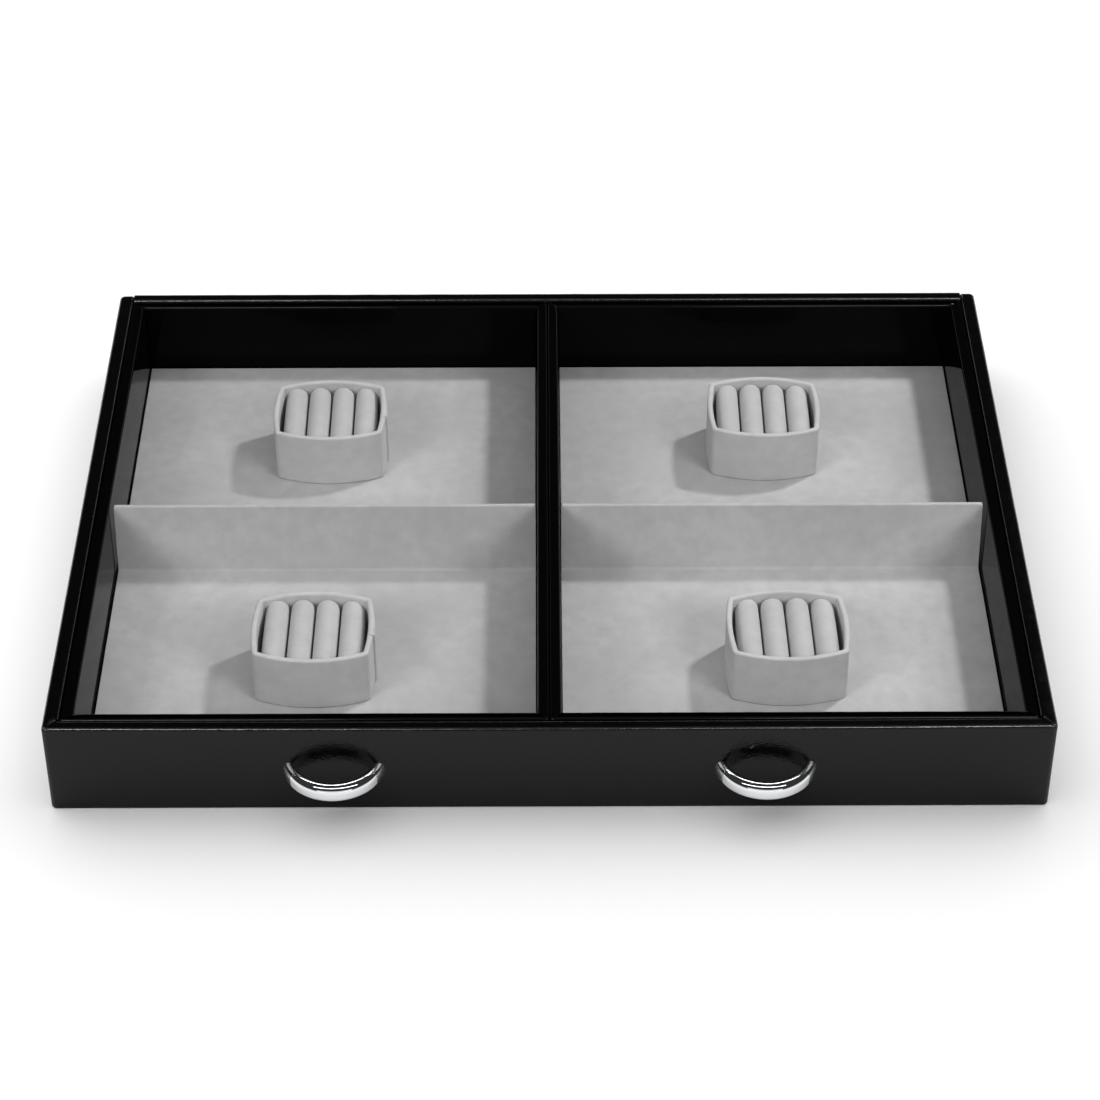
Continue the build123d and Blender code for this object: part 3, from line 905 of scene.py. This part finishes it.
# Studio: a white paper floor whose edge stands up round the table, a small bright lamp high behind on
# the right, two soft lights in front and one overhead.
FLOOR_WHITE = 0.82
FLOOR_SEEN = 1.04
FLOOR_SIZE = 8.0
FLOOR_GAP = 0.1 * MM
BACKDROP_RADIUS = 3.9
BACKDROP_SIDES = 96
BACKDROP_HEIGHT = 0.9
WORLD_DIM = 0.04
FLOOR_LIGHT = 3.45
FLOOR_LIGHT_SPREAD = math.radians(112)
FLOOR_LIGHT_FROM = (-0.12, 0.42, 1.0)


def seen_rays(tree):
    """1 where the camera, a mirror or glass looks at a thing, and 0 where light is gathered from it."""
    rays = add_node(tree, "ShaderNodeLightPath")
    seen = rays.outputs["Is Camera Ray"]
    for kind in ("Is Glossy Ray", "Is Transmission Ray"):
        both = {0: seen, 1: rays.outputs[kind]}
        seen = add_node(tree, "ShaderNodeMath", {"operation": "MAXIMUM"}, both).outputs[0]
    return seen


paper = new_material("white_paper")
tree = paper.node_tree
tone = add_node(
    tree,
    "ShaderNodeMapRange",
    inputs={"Value": seen_rays(tree), "To Min": FLOOR_WHITE, "To Max": FLOOR_SEEN},
)
shader = add_node(tree, "ShaderNodeBsdfDiffuse", inputs={"Color": tone.outputs[0]})
add_node(tree, "ShaderNodeOutputMaterial", inputs={0: shader.outputs[0]})
bpy.ops.object.select_all(action="DESELECT")
bpy.ops.mesh.primitive_plane_add(size=FLOOR_SIZE, location=(0, 0, -FLOOR_GAP))
floor = bpy.context.object
floor.name = "studio_floor"
floor.data.materials.append(paper)

lit_paper = new_material("white_paper_backdrop")
tree = lit_paper.node_tree
shader = add_node(tree, "ShaderNodeEmission", inputs={"Strength": seen_rays(tree)})
add_node(tree, "ShaderNodeOutputMaterial", inputs={0: shader.outputs[0]})
bpy.ops.mesh.primitive_cylinder_add(
    vertices=BACKDROP_SIDES,
    radius=BACKDROP_RADIUS,
    depth=BACKDROP_HEIGHT,
    end_fill_type="NOTHING",
    location=(0, 0, BACKDROP_HEIGHT / 2),
)
backdrop = bpy.context.object
backdrop.name = "studio_backdrop"
backdrop.data.materials.append(lit_paper)
backdrop.visible_shadow = False  # so the floor stays white up to its foot

world = bpy.data.worlds.new("studio")
bpy.context.scene.world = world
world.use_nodes = True
world.node_tree.nodes.clear()
tree = world.node_tree
room = add_node(tree, "ShaderNodeBackground", inputs={0: (1, 1, 1, 1), 1: WORLD_DIM})
add_node(tree, "ShaderNodeOutputWorld", inputs={0: room.outputs[0]})

# The photo's floor has been cleaned up: only one soft shadow lies round the tray. So the floor has a
# wide light of its own, and the lamps that model the tray leave it out. The soft lights fall on leather
# and suede alone, because the chrome would mirror them as patches.


def lit_group(name, pieces, state):
    """A group of pieces that a light falls on alone, or that it leaves out."""
    group = bpy.data.collections.new(name)
    for piece in pieces:
        group.objects.link(piece)
    for entry in group.collection_objects:
        entry.light_linking.link_state = state
    return group


floor_only = lit_group("floor_only", [floor], "INCLUDE")
all_but_floor = lit_group("all_but_floor", [floor], "EXCLUDE")
chrome_only = lit_group("chrome_only", [left_handle, right_handle], "INCLUDE")
soft_goods = lit_group("soft_goods", [floor, left_handle, right_handle], "EXCLUDE")


def add_light(name, size, power, place, falls_on, gloss_only=False):
    """An area light at a place, turned to the tray, and the group that it falls on."""
    data = bpy.data.lights.new(name, "AREA")
    data.shape = "RECTANGLE"
    data.size, data.size_y = size
    data.energy = power
    lamp = bpy.data.objects.new(name, data)
    lamp.location = place
    lamp.rotation_euler = Vector(place).to_track_quat("Z", "Y").to_euler()
    lamp.visible_diffuse = not gloss_only
    lamp.light_linking.receiver_collection = falls_on
    bpy.context.collection.objects.link(lamp)


sky = bpy.data.lights.new("floor_light", "SUN")
sky.energy = FLOOR_LIGHT
sky.angle = FLOOR_LIGHT_SPREAD
floor_light = bpy.data.objects.new("floor_light", sky)
floor_light.rotation_euler = Vector(FLOOR_LIGHT_FROM).to_track_quat("Z", "Y").to_euler()
floor_light.light_linking.receiver_collection = floor_only
bpy.context.collection.objects.link(floor_light)

add_light("key_lamp", (0.11, 0.11), 7.4, (0.645, 0.43, 0.95), all_but_floor)
add_light("front_right_softbox", (0.6, 0.6), 9.2, (0.9, -0.9, 0.9), soft_goods)
add_light("front_left_softbox", (0.6, 0.6), 9.2, (-0.9, -0.9, 0.9), soft_goods)
add_light("overhead_softbox", (1.2, 1.67), 5.6, (0, -0.235, 1.3), soft_goods)

# Only gloss shows these. Strips draw the bright lines along the leather's rounded edges and mitres. The
# chrome mirrors a white board in front, a strip above and, along its ridge, a strip behind the tray.
add_light("edge_strip_left", (0.42, 0.12), 9.0, (-0.34, -0.6, 1.2), soft_goods, gloss_only=True)
add_light("edge_strip_right", (0.42, 0.12), 9.0, (0.34, -0.6, 1.2), soft_goods, gloss_only=True)
add_light("seam_strip_left", (0.3, 0.3), 5.0, (-0.8, 0.0, 0.85), soft_goods, gloss_only=True)
add_light("seam_strip_right", (0.3, 0.3), 5.0, (0.8, 0.0, 0.85), soft_goods, gloss_only=True)
add_light("white_board_front", (2.4, 0.7), 4.2, (0, -1.87, 0.66), all_but_floor, gloss_only=True)
add_light("chrome_strip_front", (1.55, 0.12), 3.2, (0, -0.6, 1.2), chrome_only, gloss_only=True)
add_light("chrome_strip_back", (2.4, 0.12), 6.0, (0, 0.5, 1.2), chrome_only, gloss_only=True)

# Camera: a long lens in front of the tray and above it, looking down at it without a turn to either
# side. Its place and angles come from the photo's vanishing lines.
CAMERA_LENS = 100.67
CAMERA_SENSOR = 36
CAMERA_FAR = 50
CAMERA_PLACE = Vector((-2.2, -862.83, 706.52)) * MM
CAMERA_YAW = -0.0032
CAMERA_DOWN = 0.6805
CAMERA_ROLL = -0.0013

camera = bpy.data.objects.new("camera", bpy.data.cameras.new("camera"))
camera.data.sensor_width = CAMERA_SENSOR
camera.data.lens = CAMERA_LENS
camera.data.clip_end = CAMERA_FAR
yaw = Matrix.Rotation(CAMERA_YAW, 4, "Z")
pitch = Matrix.Rotation(math.pi / 2 - CAMERA_DOWN, 4, "X")
tilt = Matrix.Rotation(CAMERA_ROLL, 4, "Z")
camera.matrix_world = Matrix.Translation(CAMERA_PLACE) @ yaw @ pitch @ tilt
bpy.context.collection.objects.link(camera)
bpy.context.scene.camera = camera
bpy.context.scene.view_settings.view_transform = "Standard"
